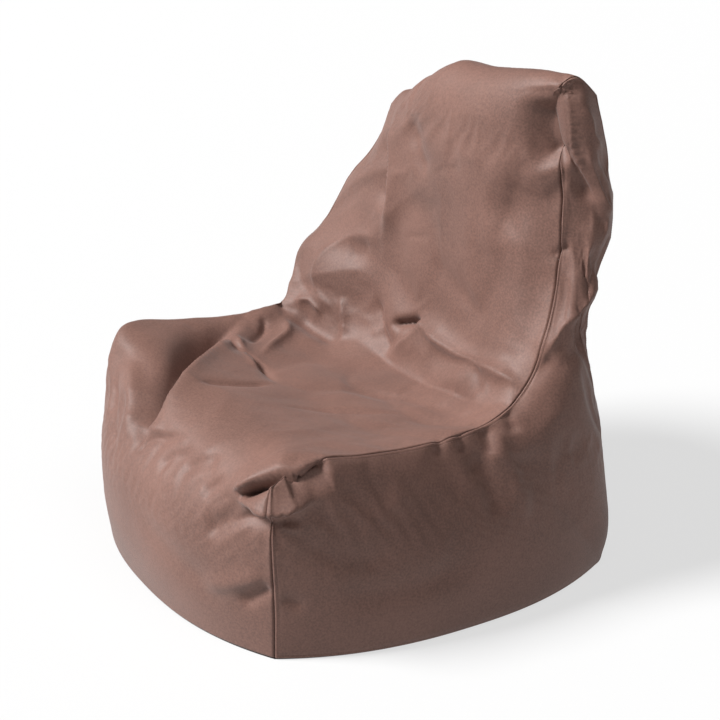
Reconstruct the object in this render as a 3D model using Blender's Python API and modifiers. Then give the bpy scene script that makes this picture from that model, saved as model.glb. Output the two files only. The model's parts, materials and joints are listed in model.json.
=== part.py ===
"""Bean bag chair: a sewn outer cover with a coil zip, an inner liner with its own zip, and a loose bead fill.

The bag stands on z = 0 and faces -Y, so the sitter's left is +X. Each skin is a layer of one closed surface,
an L in side view, which is cut along its seams into the panels of the cover and of the liner.
"""

import math

import bmesh
import bpy
import numpy as np

# Outline of the bag in side view. Each row is (y, z) on the side seam, half the width there, and (y, z) on
# the centre line, where the panel is blown out or sat in. Metres, +Y to the rear, from a point near the middle.
FRONT = [  # from the floor up to the front edge of the seat
    (-0.350, 0.000, 0.350, -0.442, 0.000),
    (-0.350, 0.105, 0.352, -0.458, 0.100),
    (-0.353, 0.215, 0.352, -0.450, 0.210),
    (-0.350, 0.338, 0.346, -0.392, 0.318),
]
SEAT_AND_BACK = [  # from the front edge over the seat and up the backrest
    (-0.350, 0.338, 0.346, -0.392, 0.318),
    (-0.285, 0.370, 0.346, -0.300, 0.346),
    (-0.170, 0.352, 0.350, -0.160, 0.320),
    (-0.040, 0.340, 0.350, -0.030, 0.302),
    (0.075, 0.352, 0.350, 0.070, 0.314),
    (0.148, 0.398, 0.346, 0.135, 0.372),
    (0.200, 0.475, 0.332, 0.168, 0.470),
    (0.240, 0.580, 0.308, 0.183, 0.590),
    (0.258, 0.690, 0.296, 0.188, 0.710),
    (0.250, 0.800, 0.292, 0.184, 0.812),
    (0.248, 0.885, 0.285, 0.196, 0.872),
]
TOP = [  # from the front of the backrest to its rear
    (0.248, 0.885, 0.285, 0.196, 0.872),
    (0.292, 0.897, 0.285, 0.254, 0.904),
    (0.336, 0.860, 0.285, 0.330, 0.884),
]
REAR = [  # from the floor up to the top
    (0.350, 0.000, 0.350, 0.400, 0.000),
    (0.362, 0.060, 0.354, 0.410, 0.050),
    (0.358, 0.130, 0.352, 0.410, 0.130),
    (0.336, 0.280, 0.348, 0.410, 0.290),
    (0.314, 0.440, 0.340, 0.410, 0.450),
    (0.326, 0.550, 0.326, 0.410, 0.600),
    (0.356, 0.650, 0.318, 0.405, 0.700),
    (0.354, 0.760, 0.304, 0.384, 0.800),
    (0.336, 0.860, 0.285, 0.330, 0.884),
]
REAR_PLANE_Y = 0.410  # the rear is flat here on the centre line, so that the zip runs straight
CROWN_POWER = 2.4  # how square the width's crown is: 2 is a parabola
SIDE_BULGE = 0.046  # the side panels blow out this far at half their height
BACK_BULGE_SHARE = 0.45  # and this share of it beside the backrest
FOOT_BULGE = 0.082  # the sides of the base panel bow out this far
EAR_LIFT = 0.040  # the top corner on +X stands up
SLUMP_DROP = 0.105  # the top corner on -X has sunk
SLUMP_PULL_IN = 0.012
SWELL_OUT = 0.040  # below the sunken corner, the backrest's edge has spread out
SWELL_FORWARD = 0.055  # and forward

# Cells of the surface along the L, across its thickness, and across the width.
CELLS_ALONG = 22
CELLS_BASE = 9
CELLS_THICK = 6
CELLS_WIDE = 12
CURVE_STEPS = 24

FABRIC = 0.0006
BASE_FABRIC = 0.0012
LINER_FABRIC = 0.0005
SEAM_GAP = 0.0012  # each panel stops this far short of its seam
LINER_DEPTH = 0.007
FILL_DEPTH = 0.0115
ZIP_POCKET = 0.007  # the inner layers lie deeper behind the cover's zip, to clear its slider
POCKET_HALF_WIDTH = 0.45  # as a share of half the width
POCKET_TOP = 0.72
POCKET_FADE = 0.10

ZIP_BOTTOM = 0.085
ZIP_TOP = 0.584
PANEL_EDGE = 0.0072  # a rear panel's edge from the centre line, along the zip
EDGE_MARGIN = 0.060  # and that far above and below it
TAPE_INNER = 0.0016
TAPE_OUTER = 0.0170
TAPE = 0.0006
TAPE_DEPTH = 0.0013
TAPE_END = 0.010
COIL_INNER = 0.0013
COIL_OUTER = 0.0038
COIL_BACK = -0.0008
COIL_FRONT = 0.0016
SLIDER_HALF_WIDTH = 0.0060
SLIDER_FLANGE = 0.0014
SLIDER_HEIGHT = 0.0170
SLIDER_PLATE = 0.0012
SLIDER_INNER_FACE = -0.0024
SLIDER_OUTER_FACE = 0.0021
SLIDER_POST_HALF_WIDTH = 0.0009
SLIDER_POST_HEIGHT = 0.0050
SLIDER_STEP = 0.0003
FLANGE_GAP = 0.0006
CROWN_HALF_WIDTH = 0.0011
CROWN_SILL = 0.0003
CROWN_HEIGHT = 0.0026
CROWN_BAR = 0.0012
CROWN_REACH = 0.0051
STOP_HEIGHT = 0.0040
STOP_GAP = 0.0004
PULL_WIDTH = 0.0080
PULL_LENGTH = 0.0340
PULL_THICK = 0.0014
PULL_EYE_WIDTH = 0.0038
PULL_EYE_LENGTH = 0.0062
CUTTER_REACH = 0.01

COVER_RGB = (0.262, 0.141, 0.118, 1)
BASE_RGB = (0.030, 0.024, 0.023, 1)
LINER_RGB = (0.720, 0.700, 0.660, 1)
TAPE_RGB = (0.110, 0.062, 0.053, 1)
COIL_RGB = (0.090, 0.052, 0.045, 1)
METAL_RGB = (0.240, 0.225, 0.210, 1)
BEAD_RGB = (0.900, 0.900, 0.890, 1)


def clear_scene():
    for thing in list(bpy.data.objects):
        bpy.data.objects.remove(thing)


def new_collection(name):
    collection = bpy.data.collections.new(name)
    bpy.context.scene.collection.children.link(collection)
    return collection


def material(name, colour, roughness, metallic=0.0):
    made = bpy.data.materials.new(name)
    made.use_nodes = True
    shader = made.node_tree.nodes["Principled BSDF"]
    shader.inputs["Base Color"].default_value = colour
    shader.inputs["Roughness"].default_value = roughness
    shader.inputs["Metallic"].default_value = metallic
    return made


def smooth_curve(points, cells):
    """Rows evenly spaced along a Catmull-Rom curve through the points, one more than the cells."""
    points = np.array(points)
    padded = np.vstack([2 * points[0] - points[1], points, 2 * points[-1] - points[-2]])
    fine = []
    for before, start, end, after in zip(padded, padded[1:], padded[2:], padded[3:]):
        for t in np.arange(CURVE_STEPS) / CURVE_STEPS:
            square = 2 * before - 5 * start + 4 * end - after
            cube = 3 * start - before - 3 * end + after
            fine.append(start + 0.5 * ((end - before) * t + square * t**2 + cube * t**3))
    fine.append(points[-1])
    fine = np.array(fine)
    steps = np.linalg.norm(np.diff(fine[:, :2], axis=0), axis=1)
    length = np.concatenate([[0], np.cumsum(steps)])
    even = np.linspace(0, length[-1], cells + 1)
    return np.array([np.interp(even, length, column) for column in fine.T]).T


def smooth_step(value):
    share = min(max(value, 0.0), 1.0)
    return share * share * (3 - 2 * share)


def outline_rows():
    """The four sides of the L in side view, each as rows of the outline, in lattice order."""
    rear = smooth_curve(REAR, CELLS_ALONG - CELLS_BASE)
    rear[:, 3] = np.minimum(rear[:, 3], REAR_PLANE_Y)
    base = np.linspace(FRONT[0], REAR[0], CELLS_BASE + 1)
    return {
        "front": smooth_curve(FRONT, CELLS_THICK)[::-1],
        "seat": smooth_curve(SEAT_AND_BACK, CELLS_ALONG),
        "top": smooth_curve(TOP, CELLS_THICK),
        "under": np.vstack([base[:-1], rear]),
    }


def side_row(rows, along, thick):
    """A point of a side panel, blended from the four sides of its outline."""
    a = along / CELLS_ALONG
    b = thick / CELLS_THICK
    front, seat, top, under = rows["front"], rows["seat"], rows["top"], rows["under"]
    across = (1 - b) * seat[along] + b * under[along]
    down = (1 - a) * front[thick] + a * top[thick]
    corners = (1 - a) * ((1 - b) * seat[0] + b * under[0]) + a * ((1 - b) * seat[-1] + b * under[-1])
    return across + down - corners


def round_off(share, width):
    """Rises from 0 at the end to 1 at the width from it."""
    return 1 - max(0.0, 1 - share / width) ** 2


def side_bulge(along, thick):
    """How far a side panel stands out from its seams. The base panel's sides bow out with it."""
    a = along / CELLS_ALONG
    b = thick / CELLS_THICK
    share = 1 - (1 - BACK_BULGE_SHARE) * smooth_step((a - 0.38) / 0.3)
    belly = SIDE_BULGE * share * round_off(a, 0.22) * round_off(1 - a, 0.15) * (4 * b * (1 - b)) ** 0.8
    base_share = min(along / CELLS_BASE, 1.0)
    foot = FOOT_BULGE * (1 - abs(2 * base_share - 1) ** CROWN_POWER) * b**1.5
    return belly + foot


def settle(point):
    """The two top corners aren't alike: one stands up as an ear, and the other has sunk and spread."""
    x, y, z = point
    if x > 0:
        return x, y, z + EAR_LIFT * smooth_step((z - 0.6) / 0.28) * smooth_step(x / 0.27)
    edge = smooth_step(-x / 0.27)
    slump = smooth_step((z - 0.50) / 0.38) * edge
    swell = smooth_step((z - 0.34) / 0.13) * smooth_step((0.86 - z) / 0.25) * edge
    x += SLUMP_PULL_IN * slump - SWELL_OUT * swell
    front_share = smooth_step((REAR_PLANE_Y - 0.05 - y) / 0.12)
    return x, y - SWELL_FORWARD * swell * front_share, z - SLUMP_DROP * slump


def lattice_keys():
    """The lattice points that lie on the surface of the bent box."""
    for i in range(CELLS_ALONG + 1):
        for j in range(CELLS_THICK + 1):
            for k in range(CELLS_WIDE + 1):
                if i in (0, CELLS_ALONG) or j in (0, CELLS_THICK) or k in (0, CELLS_WIDE):
                    yield i, j, k


def surface_points():
    """Every point of the outer surface, by its lattice key."""
    rows = outline_rows()
    points = {}
    for i, j, k in lattice_keys():
        c = 2 * k / CELLS_WIDE - 1
        if j == 0:
            row = rows["seat"][i]
        elif j == CELLS_THICK:
            row = rows["under"][i]
        elif i == 0:
            row = rows["front"][j]
        elif i == CELLS_ALONG:
            row = rows["top"][j]
        else:
            row = side_row(rows, i, j)
        y_seam, z_seam, half_width, y_mid, z_mid = row
        crown = 1 - abs(c) ** CROWN_POWER
        x = c * half_width
        if abs(c) == 1 or (j == CELLS_THICK and i < CELLS_BASE):
            x += c * side_bulge(i, j)
        y = y_seam + (y_mid - y_seam) * crown
        z = z_seam + (z_mid - z_seam) * crown
        points[i, j, k] = np.array(settle((x, y, max(z, 0.0))))
    return points


def grid_triangles(keys):
    """Two triangles in each cell of a grid of keys, as places in the grid, split alike in every layer."""
    for r in range(len(keys) - 1):
        for n in range(len(keys[r]) - 1):
            corners = [(r, n), (r, n + 1), (r + 1, n + 1), (r + 1, n)]
            first = min(range(4), key=lambda place: keys[corners[place][0]][corners[place][1]])
            turned = corners[first:] + corners[:first]
            yield turned[0], turned[1], turned[2]
            yield turned[0], turned[2], turned[3]


def side_of(i=None, j=None, k=None):
    """A whole face of the lattice, as rows of keys."""
    whole = (CELLS_ALONG, CELLS_THICK, CELLS_WIDE)
    spans = [range(cells + 1) if fixed is None else [fixed] for cells, fixed in zip(whole, (i, j, k))]
    rows_axis, row_axis = [axis for axis in range(3) if len(spans[axis]) > 1]
    keys = []
    for place in spans[rows_axis]:
        row = []
        for step in spans[row_axis]:
            key = [spans[0][0], spans[1][0], spans[2][0]]
            key[rows_axis] = place
            key[row_axis] = step
            row.append(tuple(key))
        keys.append(row)
    return keys


def closed_mesh(points):
    """The closed surface as a bmesh, with the vertex of each key."""
    mesh = bmesh.new()
    vertices = {key: mesh.verts.new(point) for key, point in points.items()}
    sides = [
        side_of(i=0),
        side_of(i=CELLS_ALONG),
        side_of(j=0),
        side_of(j=CELLS_THICK),
        side_of(k=0),
        side_of(k=CELLS_WIDE),
    ]
    for side in sides:
        for triangle in grid_triangles(side):
            mesh.faces.new([vertices[side[r][n]] for r, n in triangle])
    bmesh.ops.recalc_face_normals(mesh, faces=mesh.faces)
    mesh.normal_update()
    return mesh, vertices


def inward_steps(points):
    """How each point moves for one metre of depth, so that a layer keeps its distance from every face."""
    mesh, vertices = closed_mesh(points)
    steps = {key: -np.array(v.normal) * v.calc_shell_factor() for key, v in vertices.items()}
    mesh.free()
    return steps


def pocket(key, point):
    """How fully a point lies in the zip's pocket, from 0 to 1."""
    i, j, k = key
    if j != CELLS_THICK or i < CELLS_BASE:
        return 0.0
    across = 1 - abs(2 * k / CELLS_WIDE - 1) / POCKET_HALF_WIDTH
    upward = (POCKET_TOP + POCKET_FADE - point[2]) / POCKET_FADE
    return smooth_step(across * 1.3) * smooth_step(upward)


def layer(points, steps, depth, pocket_depth=0.0):
    """The surface moved inward by a depth, and by more in the zip's pocket."""
    moved = {}
    for key, point in points.items():
        moved[key] = point + steps[key] * (depth + pocket_depth * pocket(key, point))
    return moved


def draw_back(grid):
    """Stops each edge of a grid of points short of its seam."""
    rows = [list(row) for row in grid]
    for row in rows:
        row[0] = row[0] + (row[1] - row[0]) * SEAM_GAP / np.linalg.norm(row[1] - row[0])
        row[-1] = row[-1] + (row[-2] - row[-1]) * SEAM_GAP / np.linalg.norm(row[-2] - row[-1])
    for end, inner in ((0, 1), (-1, -2)):
        for n in range(len(rows[0])):
            step = rows[inner][n] - rows[end][n]
            rows[end][n] = rows[end][n] + step * SEAM_GAP / np.linalg.norm(step)
    return rows


def panel(name, keys, points, steps, thickness, collection, look, zip_column=None, zip_side=1):
    """A sewn panel: a grid of the surface, drawn back from its seams and solidified inward."""
    grid = draw_back([[points[key] for key in row] for row in keys])
    if zip_column is not None:
        for row in grid:
            row[zip_column][0] = zip_side * zip_edge(row[zip_column][2])
    mesh = bmesh.new()
    vertices = [[mesh.verts.new(point) for point in row] for row in grid]
    for triangle in grid_triangles(keys):
        mesh.faces.new([vertices[r][n] for r, n in triangle])
    mesh.normal_update()
    middle_row, middle = len(keys) // 2, len(keys[0]) // 2
    facing = np.array(vertices[middle_row][middle].normal)
    if np.dot(facing, steps[keys[middle_row][middle]]) > 0:
        bmesh.ops.reverse_faces(mesh, faces=mesh.faces)
    thing = mesh_object(name, mesh, collection, look)
    solid = thing.modifiers.new("Fabric", "SOLIDIFY")
    solid.thickness = thickness
    solid.offset = -1
    solid.use_even_offset = True


def zip_edge(z):
    """A rear panel's edge leaves room for the zip, and closes to a seam above and below it."""
    beside_zip = ZIP_BOTTOM - EDGE_MARGIN < z < ZIP_TOP + EDGE_MARGIN
    return PANEL_EDGE if beside_zip else SEAM_GAP


def mesh_object(name, mesh, collection, look):
    data = bpy.data.meshes.new(name)
    mesh.to_mesh(data)
    mesh.free()
    data.shade_smooth()
    data.set_sharp_from_angle(angle=math.radians(35))
    data.materials.append(look)
    thing = bpy.data.objects.new(name, data)
    collection.objects.link(thing)
    return thing


def block(name, low, high, collection, look, origin=(0, 0, 0)):
    """A box between two corners, with its object's origin at a point."""
    mesh = bmesh.new()
    bmesh.ops.create_cube(mesh, size=1)
    low, high, origin = np.array(low), np.array(high), np.array(origin)
    for vertex in mesh.verts:
        vertex.co = (low + high) / 2 - origin + (high - low) * np.array(vertex.co)
    thing = mesh_object(name, mesh, collection, look)
    thing.location = origin
    return thing


def helper(name, low, high, cutters, look):
    """A box that only shapes another piece."""
    thing = block(name, low, high, cutters, look)
    thing.hide_render = True
    thing.display_type = "WIRE"
    return thing


def combine(target, other, operation):
    change = target.modifiers.new(other.name, "BOOLEAN")
    change.operation = operation
    change.object = other


def make_skins(prefix, points, steps, thickness, base_thickness, collection, looks):
    """The panels of one bag: the long strip over the front, seat, back and top, then sides, rear and base."""
    middle = CELLS_WIDE // 2
    strip = side_of(i=0)[::-1][:-1] + side_of(j=0) + side_of(i=CELLS_ALONG)[1:]
    rear = side_of(j=CELLS_THICK)[CELLS_BASE:]
    base = side_of(j=CELLS_THICK)[: CELLS_BASE + 1]
    skin, floor_skin = looks
    shared = {"points": points, "steps": steps, "collection": collection}
    sewn = {"thickness": thickness, "look": skin, **shared}
    panel(prefix + "main_panel", strip, **sewn)
    panel(prefix + "side_panel_left", side_of(k=CELLS_WIDE), **sewn)
    panel(prefix + "side_panel_right", side_of(k=0), **sewn)
    panel(prefix + "rear_panel_left", [row[middle:] for row in rear], zip_column=0, zip_side=1, **sewn)
    panel(prefix + "rear_panel_right", [row[: middle + 1] for row in rear], zip_column=-1, zip_side=-1, **sewn)
    panel(prefix + "base_panel", base, thickness=base_thickness, look=floor_skin, **shared)


def make_zip(prefix, face_y, collection, cutters, looks, with_pull):
    """A coil zip up the centre line, closed: two tapes, two rows of coil, stops, and a slider at the top."""
    tape_look, coil_look, metal_look = looks
    for side, name in ((1, "left"), (-1, "right")):
        tape_x = sorted((side * TAPE_INNER, side * TAPE_OUTER))
        coil_x = sorted((side * COIL_INNER, side * COIL_OUTER))
        block(
            f"{prefix}zip_tape_{name}",
            (tape_x[0], face_y - TAPE_DEPTH - TAPE, ZIP_BOTTOM - TAPE_END),
            (tape_x[1], face_y - TAPE_DEPTH, ZIP_TOP + TAPE_END),
            collection,
            tape_look,
        )
        block(
            f"{prefix}zip_coil_{name}",
            (coil_x[0], face_y + COIL_BACK, ZIP_BOTTOM + STOP_HEIGHT + STOP_GAP),
            (coil_x[1], face_y + COIL_FRONT, ZIP_TOP - STOP_GAP),
            collection,
            coil_look,
        )
        block(
            f"{prefix}zip_stop_top_{name}",
            (coil_x[0], face_y + COIL_BACK, ZIP_TOP),
            (coil_x[1], face_y + COIL_FRONT, ZIP_TOP + STOP_HEIGHT),
            collection,
            metal_look,
        )
    block(
        f"{prefix}zip_stop_bottom",
        (-COIL_OUTER, face_y + COIL_BACK, ZIP_BOTTOM),
        (COIL_OUTER, face_y + COIL_FRONT, ZIP_BOTTOM + STOP_HEIGHT),
        collection,
        metal_look,
    )
    slider_z = ZIP_TOP - STOP_GAP - SLIDER_HEIGHT / 2
    make_slider(prefix, face_y, slider_z, collection, cutters, metal_look, with_pull)
    if with_pull:
        make_pull(prefix, face_y, slider_z, collection, cutters, metal_look)


def make_slider(prefix, face_y, middle_z, collection, cutters, look, with_crown):
    """Two plates on a post between the coils, with flanges round them and a crown for the pull."""
    bottom = middle_z - SLIDER_HEIGHT / 2
    top = middle_z + SLIDER_HEIGHT / 2
    inner = face_y + SLIDER_INNER_FACE
    outer = face_y + SLIDER_OUTER_FACE
    plate = outer + SLIDER_PLATE
    width = SLIDER_HALF_WIDTH
    low, high = (-width, outer, bottom), (width, plate, top)
    slider = block(f"{prefix}zip_slider", low, high, collection, look, origin=(0, face_y, middle_z))
    lap = SLIDER_PLATE / 2
    pieces = {
        "inner_plate": ((-width, inner - SLIDER_PLATE, bottom), (width, inner, top)),
        "post": (
            (-SLIDER_POST_HALF_WIDTH, inner - lap, top - SLIDER_POST_HEIGHT),
            (SLIDER_POST_HALF_WIDTH, outer + lap, top - SLIDER_STEP),
        ),
    }
    for side, name in ((-1, "right"), (1, "left")):
        flange_x = sorted((side * (width - SLIDER_STEP), side * (width - SLIDER_FLANGE)))
        pieces[f"flange_{name}"] = (
            (flange_x[0], face_y - TAPE_DEPTH + FLANGE_GAP, bottom + SLIDER_STEP),
            (flange_x[1], outer + lap, top - SLIDER_STEP),
        )
    if with_crown:
        pieces["crown"] = (
            (-CROWN_HALF_WIDTH, plate - lap, middle_z - CROWN_REACH),
            (CROWN_HALF_WIDTH, plate + CROWN_SILL + CROWN_HEIGHT + CROWN_BAR, middle_z + CROWN_REACH),
        )
    for name, (low, high) in pieces.items():
        combine(slider, helper(f"{prefix}{name}", low, high, cutters, look), "UNION")
    if with_crown:
        arch_reach = CROWN_REACH - CROWN_BAR
        low = (-CUTTER_REACH, plate + CROWN_SILL, middle_z - arch_reach)
        high = (CUTTER_REACH, plate + CROWN_SILL + CROWN_HEIGHT, middle_z + arch_reach)
        combine(slider, helper(f"{prefix}crown_arch", low, high, cutters, look), "DIFFERENCE")


def make_pull(prefix, face_y, slider_z, collection, cutters, look):
    """A flat tab that hangs in the crown. Its cross bar lies on the hinge's axis."""
    axis_y = face_y + SLIDER_OUTER_FACE + SLIDER_PLATE + CROWN_SILL + CROWN_HEIGHT / 2
    half = PULL_THICK / 2
    low = (-PULL_WIDTH / 2, axis_y - half, slider_z + half - PULL_LENGTH)
    high = (PULL_WIDTH / 2, axis_y + half, slider_z + half)
    pull = block(f"{prefix}zip_pull", low, high, collection, look, origin=(0, axis_y, slider_z))
    low = (-PULL_EYE_WIDTH / 2, axis_y - CUTTER_REACH, slider_z - half - PULL_EYE_LENGTH)
    high = (PULL_EYE_WIDTH / 2, axis_y + CUTTER_REACH, slider_z - half)
    combine(pull, helper(f"{prefix}pull_eye", low, high, cutters, look), "DIFFERENCE")


def main():
    clear_scene()
    chair = new_collection("bean_bag_chair")
    cutters = new_collection("cutters")
    cover = material("cover_fabric", COVER_RGB, 0.55)
    base = material("base_fabric", BASE_RGB, 0.7)
    liner = material("liner_fabric", LINER_RGB, 0.8)
    tape = material("zip_tape", TAPE_RGB, 0.8)
    coil = material("zip_coil", COIL_RGB, 0.4)
    metal = material("zip_metal", METAL_RGB, 0.35, metallic=1.0)
    beads = material("bead_fill", BEAD_RGB, 0.85)

    points = surface_points()
    front_y = min(point[1] for point in points.values())
    crown = SLIDER_OUTER_FACE + SLIDER_PLATE + CROWN_SILL + CROWN_HEIGHT + CROWN_BAR
    middle_y = (front_y + REAR_PLANE_Y + crown) / 2
    points = {key: point - np.array([0, middle_y, 0]) for key, point in points.items()}
    steps = inward_steps(points)
    face_y = REAR_PLANE_Y - middle_y

    make_skins("", points, steps, FABRIC, BASE_FABRIC, chair, (cover, base))
    inside = layer(points, steps, LINER_DEPTH, ZIP_POCKET)
    make_skins("liner_", inside, steps, LINER_FABRIC, LINER_FABRIC, chair, (liner, liner))
    fill, _ = closed_mesh(layer(points, steps, FILL_DEPTH, ZIP_POCKET))
    mesh_object("bead_fill", fill, chair, beads)
    make_zip("", face_y, chair, cutters, (tape, coil, metal), with_pull=True)
    liner_face_y = face_y - LINER_DEPTH - ZIP_POCKET
    make_zip("liner_", liner_face_y, chair, cutters, (tape, coil, metal), with_pull=False)


main()
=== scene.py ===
"""Looks of the bean bag chair: a slack cloth cover over a bead-filled liner, with sewn seams and a zip.

The cover is worked out as one closed surface, an L in side view, on a lattice along the L (a), through its
thickness (b) and across its width (c). Cloth simulation slackens it, and then each sewn panel is cut from it.
"""

import json
import math

import bmesh
import bpy
import numpy as np
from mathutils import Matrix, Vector, kdtree, noise


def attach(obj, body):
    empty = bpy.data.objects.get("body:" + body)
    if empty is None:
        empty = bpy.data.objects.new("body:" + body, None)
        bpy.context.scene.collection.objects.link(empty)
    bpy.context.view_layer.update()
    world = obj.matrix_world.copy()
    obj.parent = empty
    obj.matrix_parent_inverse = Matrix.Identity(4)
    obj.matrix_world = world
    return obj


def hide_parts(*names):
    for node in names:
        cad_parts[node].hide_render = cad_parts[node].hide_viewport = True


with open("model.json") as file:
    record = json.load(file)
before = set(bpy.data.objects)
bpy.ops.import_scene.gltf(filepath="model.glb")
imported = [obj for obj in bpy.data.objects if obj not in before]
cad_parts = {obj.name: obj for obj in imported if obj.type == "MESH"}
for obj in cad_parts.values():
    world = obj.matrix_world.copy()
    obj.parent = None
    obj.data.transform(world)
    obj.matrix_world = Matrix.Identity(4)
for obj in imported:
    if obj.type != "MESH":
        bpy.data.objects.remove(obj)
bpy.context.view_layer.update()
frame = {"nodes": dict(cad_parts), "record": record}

# ---------------------------------------------------------------- the bag's outline, as in the CAD model
# Rows of (y, z) on the side seam, half the width there, and (y, z) on the centre line, in metres.
FRONT = [  # from the floor up to the front edge of the seat
    (-0.350, 0.000, 0.350, -0.442, 0.000),
    (-0.350, 0.105, 0.352, -0.458, 0.100),
    (-0.353, 0.215, 0.352, -0.450, 0.210),
    (-0.350, 0.338, 0.346, -0.392, 0.318),
]
SEAT_AND_BACK = [  # from the front edge over the seat and up the backrest
    (-0.350, 0.338, 0.346, -0.392, 0.318),
    (-0.285, 0.370, 0.346, -0.300, 0.346),
    (-0.170, 0.352, 0.350, -0.160, 0.320),
    (-0.040, 0.340, 0.350, -0.030, 0.302),
    (0.075, 0.352, 0.350, 0.070, 0.314),
    (0.148, 0.398, 0.346, 0.135, 0.372),
    (0.200, 0.475, 0.332, 0.168, 0.470),
    (0.240, 0.580, 0.308, 0.183, 0.590),
    (0.258, 0.690, 0.296, 0.188, 0.710),
    (0.250, 0.800, 0.292, 0.184, 0.812),
    (0.248, 0.885, 0.285, 0.196, 0.872),
]
TOP = [  # from the front of the backrest to its rear
    (0.248, 0.885, 0.285, 0.196, 0.872),
    (0.292, 0.897, 0.285, 0.254, 0.904),
    (0.336, 0.860, 0.285, 0.330, 0.884),
]
REAR = [  # from the floor up to the top
    (0.350, 0.000, 0.350, 0.400, 0.000),
    (0.362, 0.060, 0.354, 0.410, 0.050),
    (0.358, 0.130, 0.352, 0.410, 0.130),
    (0.336, 0.280, 0.348, 0.410, 0.290),
    (0.314, 0.440, 0.340, 0.410, 0.450),
    (0.326, 0.550, 0.326, 0.410, 0.600),
    (0.356, 0.650, 0.318, 0.405, 0.700),
    (0.354, 0.760, 0.304, 0.384, 0.800),
    (0.336, 0.860, 0.285, 0.330, 0.884),
]
REAR_PLANE_Y = 0.410
MIDDLE_Y = -0.0204  # the outline's y of the frame's origin
CORNER_SHARE = 9 / 22  # share of the way along the L where the base meets the rear
CROWN_POWER = 2.4
SIDE_BULGE = 0.046
BACK_BULGE_SHARE = 0.45
FOOT_BULGE = 0.082
EAR_LIFT = 0.040
SLUMP_DROP = 0.105
SLUMP_PULL_IN = 0.012
SWELL_OUT = 0.040
SWELL_FORWARD = 0.055

# Lattice cells along, through and across, and the spacing of the finished panels' vertices.
CELLS_ALONG = 88
CELLS_BASE = 36
CELLS_THICK = 28
CELLS_WIDE = 60
FINE = 0.0048
HEM_LINES = (0.0, 0.0012, 0.0026, 0.0045, 0.0066, 0.0090)  # metres from a seam, where the mesh is finer
CURVE_STEPS = 40


def smooth_step(value):
    share = np.clip(value, 0.0, 1.0)
    return share * share * (3 - 2 * share)


def smooth_curve(points, cells):
    """Rows evenly spaced along a Catmull-Rom curve through the points, one more than the cells."""
    points = np.array(points)
    padded = np.vstack([2 * points[0] - points[1], points, 2 * points[-1] - points[-2]])
    fine = []
    for before, start, end, after in zip(padded, padded[1:], padded[2:], padded[3:]):
        for t in np.arange(CURVE_STEPS) / CURVE_STEPS:
            square = 2 * before - 5 * start + 4 * end - after
            cube = 3 * start - before - 3 * end + after
            fine.append(start + 0.5 * ((end - before) * t + square * t**2 + cube * t**3))
    fine.append(points[-1])
    fine = np.array(fine)
    steps = np.linalg.norm(np.diff(fine[:, :2], axis=0), axis=1)
    length = np.concatenate([[0], np.cumsum(steps)])
    even = np.linspace(0, length[-1], cells + 1)
    return np.array([np.interp(even, length, column) for column in fine.T]).T


def outline_rows():
    rear = smooth_curve(REAR, CELLS_ALONG - CELLS_BASE)
    rear[:, 3] = np.minimum(rear[:, 3], REAR_PLANE_Y)
    base = np.linspace(FRONT[0], REAR[0], CELLS_BASE + 1)
    return {
        "front": smooth_curve(FRONT, CELLS_THICK)[::-1],
        "seat": smooth_curve(SEAT_AND_BACK, CELLS_ALONG),
        "top": smooth_curve(TOP, CELLS_THICK),
        "under": np.vstack([base[:-1], rear]),
    }


def round_off(share, width):
    return 1 - np.maximum(0.0, 1 - share / width) ** 2


def side_bulge(a, b):
    share = 1 - (1 - BACK_BULGE_SHARE) * smooth_step((a - 0.38) / 0.3)
    belly = SIDE_BULGE * share * round_off(a, 0.22) * round_off(1 - a, 0.15) * (4 * b * (1 - b)) ** 0.8
    base_share = np.minimum(a / CORNER_SHARE, 1.0)
    foot = FOOT_BULGE * (1 - np.abs(2 * base_share - 1) ** CROWN_POWER) * b**1.5
    return belly + foot


def settle(points):
    """The two top corners aren't alike: one stands up as an ear, and the other has sunk and spread."""
    x, y, z = points[..., 0], points[..., 1], points[..., 2]
    right = np.where(x > 0, 1.0, 0.0)
    lift = EAR_LIFT * smooth_step((z - 0.6) / 0.28) * smooth_step(x / 0.27) * right
    edge = smooth_step(-x / 0.27) * (1 - right)
    slump = smooth_step((z - 0.50) / 0.38) * edge
    swell = smooth_step((z - 0.34) / 0.13) * smooth_step((0.86 - z) / 0.25) * edge
    front_share = smooth_step((REAR_PLANE_Y - 0.05 - y) / 0.12)
    return np.stack(
        [
            x + SLUMP_PULL_IN * slump - SWELL_OUT * swell,
            y - SWELL_FORWARD * swell * front_share - MIDDLE_Y,
            z + lift - SLUMP_DROP * slump,
        ],
        axis=-1,
    )


def band(rows, c, bulge=None):
    """A face of the lattice that runs across the width: a row of the outline for each line, c across it."""
    rows = np.array(rows)[:, None, :]
    c = c[None, :]
    crown = 1 - np.abs(c) ** CROWN_POWER
    half_width = rows[..., 2] + (0 if bulge is None else bulge[:, None])
    y = rows[..., 0] + (rows[..., 3] - rows[..., 0]) * crown
    z = rows[..., 1] + (rows[..., 4] - rows[..., 1]) * crown
    return settle(np.stack([c * half_width, y, np.maximum(z, 0) + 0 * c], axis=-1))


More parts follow.
